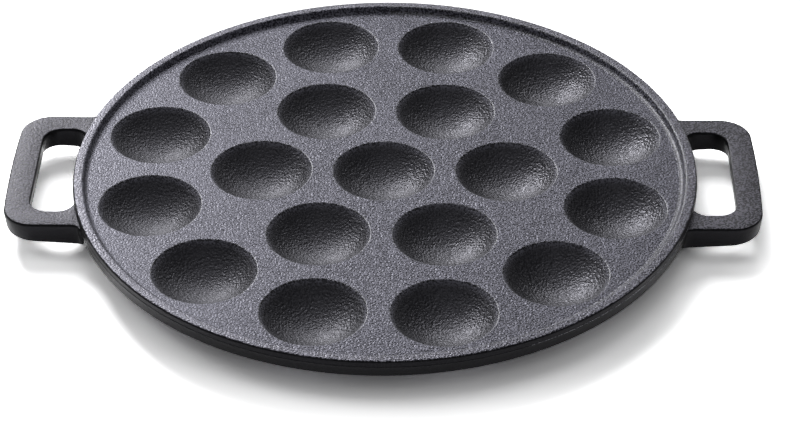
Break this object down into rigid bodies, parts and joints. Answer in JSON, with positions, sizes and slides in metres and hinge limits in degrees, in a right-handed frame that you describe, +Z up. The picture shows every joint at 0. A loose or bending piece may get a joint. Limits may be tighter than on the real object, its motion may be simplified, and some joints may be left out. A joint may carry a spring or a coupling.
{
  "type": "poffertjes pan",
  "caption": "Round cast-iron pan with rings of shallow round hollows for small pancakes, a low raised rim and two flat loop handles.",
  "frame": {"origin": "on the table under the middle of the pan, in the plane of the cups' flat feet", "axes": "+Z up, +X through the right handle, +Y to the back"},
  "size_m": [0.3024, 0.2512, 0.0171],
  "materials": {
    "griddle_iron": "seasoned black iron with a fine as-cast grain",
    "rim_iron": "seasoned black iron, grained on top and smooth outside",
    "cup_iron": "seasoned black iron with a coarser orange-peel grain",
    "handle_iron": "seasoned black iron, grained on top and smooth at the sides"
  },
  "bodies": {
    "root": {"griddle_plate": "griddle_iron", "rim": "rim_iron", "handle_left": "handle_iron", "handle_right": "handle_iron", "cup_centre": "cup_iron", "cup_inner_01": "cup_iron", "cup_inner_02": "cup_iron", "cup_inner_03": "cup_iron", "cup_inner_04": "cup_iron", "cup_inner_05": "cup_iron", "cup_inner_06": "cup_iron", "cup_outer_01": "cup_iron", "cup_outer_02": "cup_iron", "cup_outer_03": "cup_iron", "cup_outer_04": "cup_iron", "cup_outer_05": "cup_iron", "cup_outer_06": "cup_iron", "cup_outer_07": "cup_iron", "cup_outer_08": "cup_iron", "cup_outer_09": "cup_iron", "cup_outer_10": "cup_iron", "cup_outer_11": "cup_iron", "cup_outer_12": "cup_iron"}
  },
  "joints": []
}
